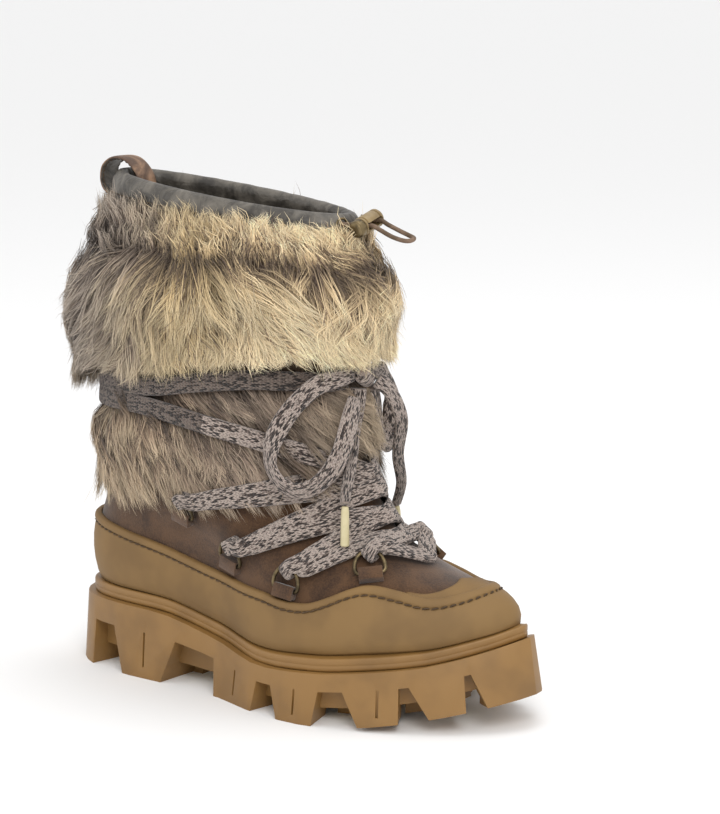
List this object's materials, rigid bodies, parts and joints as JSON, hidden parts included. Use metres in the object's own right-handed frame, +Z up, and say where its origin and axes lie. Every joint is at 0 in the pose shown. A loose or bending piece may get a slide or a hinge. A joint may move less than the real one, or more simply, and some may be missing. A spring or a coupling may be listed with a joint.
{
  "type": "boot",
  "caption": "Mid-calf apres ski boot, right foot: lugged rubber sole, suede vamp, fur shaft, flat lace bow and drawcord collar",
  "frame": {"origin": "on the floor under the middle of the boot's box", "axes": "+X from the heel to the toe, +Y to the wearer's left, which is the inner side of this right boot, +Z up"},
  "size_m": [0.2952, 0.1162, 0.2838],
  "materials": {
    "sole_rubber": "satin",
    "suede": "matte",
    "footbed": "matte",
    "rand_rubber": "matte",
    "collar_leather": "satin",
    "bronze": "satin",
    "strap": "matte",
    "lace": "matte",
    "fur": "matte",
    "aglet": "satin",
    "lock_plastic": "satin",
    "cord": "matte"
  },
  "bodies": {
    "root": {"outsole": "sole_rubber", "welt": "sole_rubber", "upper": "suede", "insole": "footbed", "rand": "rand_rubber", "toe_cap": "rand_rubber", "collar": "collar_leather", "collar_eyelet_outer": "bronze", "collar_eyelet_inner": "bronze", "pull_loop": "strap", "ring_tab_outer_1": "suede", "d_ring_outer_1": "bronze", "ring_tab_outer_2": "suede", "d_ring_outer_2": "bronze", "ring_tab_outer_3": "suede", "d_ring_outer_3": "bronze", "ring_tab_outer_4": "suede", "d_ring_outer_4": "bronze", "ring_tab_inner_1": "suede", "d_ring_inner_1": "bronze", "ring_tab_inner_2": "suede", "d_ring_inner_2": "bronze", "ring_tab_inner_3": "suede", "d_ring_inner_3": "bronze", "ring_tab_inner_4": "suede", "d_ring_inner_4": "bronze", "lace_crossings": "lace", "fur_cuff": "fur", "fur_ankle": "fur", "lace_knot": "lace", "lace_loop_outer": "lace", "lace_end_outer": "lace", "aglet_outer": "aglet", "lace_loop_inner": "lace", "lace_end_inner": "lace", "aglet_inner": "aglet", "cord_lock_barrel": "lock_plastic", "cord_lock_button": "bronze", "draw_cord": "cord"}
  },
  "joints": []
}
